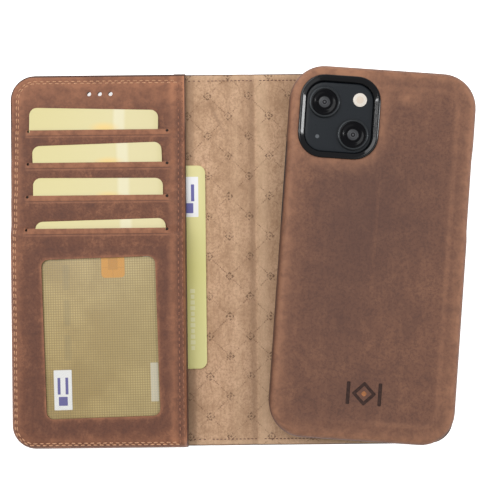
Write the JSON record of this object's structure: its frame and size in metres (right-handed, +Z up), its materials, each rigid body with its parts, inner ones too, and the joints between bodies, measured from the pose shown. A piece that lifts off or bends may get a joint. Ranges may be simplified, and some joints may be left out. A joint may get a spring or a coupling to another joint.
{
  "type": "phone wallet case",
  "caption": "Book-style phone wallet case lying open, with card slots, a windowed pocket, a side pocket and a detachable camera-ringed phone case on its back cover.",
  "frame": {"origin": "centre of the spine's underside, on the surface that the open wallet lies on", "axes": "+X across the open wallet towards the back cover, +Y along the spine towards the camera end, +Z up out of the lining"},
  "size_m": [0.1937, 0.1579, 0.0155],
  "materials": {
    "wallet_leather": "waxed, pull-up",
    "case_leather": "waxed, pull-up",
    "suede_lining": "napped microfibre with a debossed lattice",
    "stiff_board": "pressed board",
    "pocket_textile": "woven",
    "clear_film": "clear vinyl film",
    "card_plastic": "printed, semi-gloss",
    "contact_metal": "plated",
    "magnet_metal": "nickel plated",
    "plate_metal": "rolled",
    "shell_plastic": "moulded",
    "felt": "napped",
    "ring_plastic": "polished",
    "phone_metal": "anodised",
    "phone_glass": "polished",
    "island_glass": "satin",
    "lens_glass": "coated",
    "lens_inside": "coated",
    "flash_plastic": "diffusing"
  },
  "bodies": {
    "back_cover": {"back_leather": "wallet_leather", "back_board": "stiff_board", "holding_magnets": "magnet_metal", "back_lining": "suede_lining"},
    "spine": {"spine_leather": "wallet_leather", "spine_stiffener": "stiff_board", "spine_lining": "suede_lining"},
    "front_cover": {"front_leather": "wallet_leather", "front_board": "stiff_board", "front_lining": "suede_lining", "card_panel": "wallet_leather", "side_pocket_backing": "pocket_textile", "slot_pocket_1": "pocket_textile", "slot_pocket_2": "pocket_textile", "slot_pocket_3": "pocket_textile", "slot_pocket_4": "pocket_textile", "window_pocket": "pocket_textile", "id_window_film": "clear_film"},
    "slot_card_1": {"card_1": "card_plastic"},
    "slot_card_2": {"card_2": "card_plastic"},
    "slot_card_3": {"card_3": "card_plastic"},
    "slot_card_4": {"card_4": "card_plastic"},
    "window_card": {"id_card": "card_plastic", "id_card_chip": "contact_metal"},
    "side_pocket_card": {"side_card": "card_plastic"},
    "phone_case": {"case_leather": "case_leather", "case_shell": "shell_plastic", "steel_plate": "plate_metal", "case_liner": "felt", "camera_guard_ring": "ring_plastic", "phone_frame": "phone_metal", "phone_screen": "phone_glass", "phone_back_glass": "phone_glass", "camera_island": "island_glass", "lens_bezels": "phone_metal", "lens_glasses": "lens_glass", "lens_elements": "lens_inside", "flash_lens": "flash_plastic"},
    "power_key": {"power_button": "phone_metal"},
    "volume_up_key": {"volume_up_button": "phone_metal"},
    "volume_down_key": {"volume_down_button": "phone_metal"}
  },
  "joints": [
    {"name": "spine_fold", "type": "hinge", "parent": "back_cover", "child": "spine", "pos_m": [0.01075, 0, 0.0031], "axis": [0, 1, 0], "range_deg": [0, 90]},
    {"name": "front_fold", "type": "hinge", "parent": "spine", "child": "front_cover", "pos_m": [-0.01075, 0, 0.0031], "axis": [0, 1, 0], "range_deg": [0, 90]},
    {"name": "slot_card_1_slide", "type": "slide", "parent": "front_cover", "child": "slot_card_1", "axis": [-0.0262, -0.9997, 0], "range_m": [-0.065, 0.0055]},
    {"name": "slot_card_2_slide", "type": "slide", "parent": "front_cover", "child": "slot_card_2", "axis": [0.0262, -0.9997, 0], "range_m": [-0.065, 0.0045]},
    {"name": "slot_card_3_slide", "type": "slide", "parent": "front_cover", "child": "slot_card_3", "axis": [-0.0079, -1, 0], "range_m": [-0.065, 0.0045]},
    {"name": "slot_card_4_slide", "type": "slide", "parent": "front_cover", "child": "slot_card_4", "axis": [0.0218, -0.9998, 0], "range_m": [-0.065, 0.0005]},
    {"name": "window_card_slide", "type": "slide", "parent": "front_cover", "child": "window_card", "axis": [0.0157, -0.9999, 0], "range_m": [-0.065, 0]},
    {"name": "side_card_slide", "type": "slide", "parent": "front_cover", "child": "side_pocket_card", "axis": [-1, 0, 0], "range_m": [-0.023, 0.008]},
    {"name": "case_lift", "type": "slide", "parent": "back_cover", "child": "phone_case", "axis": [0, 0, -1], "range_m": [-0.04, 0]},
    {"name": "power_press", "type": "slide", "parent": "phone_case", "child": "power_key", "axis": [0.9969, -0.0792, 0], "range_m": [0, 0.0003], "stiffness_N_per_m": 800},
    {"name": "volume_up_press", "type": "slide", "parent": "phone_case", "child": "volume_up_key", "axis": [-0.9969, 0.0792, 0], "range_m": [0, 0.0003], "stiffness_N_per_m": 800},
    {"name": "volume_down_press", "type": "slide", "parent": "phone_case", "child": "volume_down_key", "axis": [-0.9969, 0.0792, 0], "range_m": [0, 0.0003], "stiffness_N_per_m": 800}
  ]
}
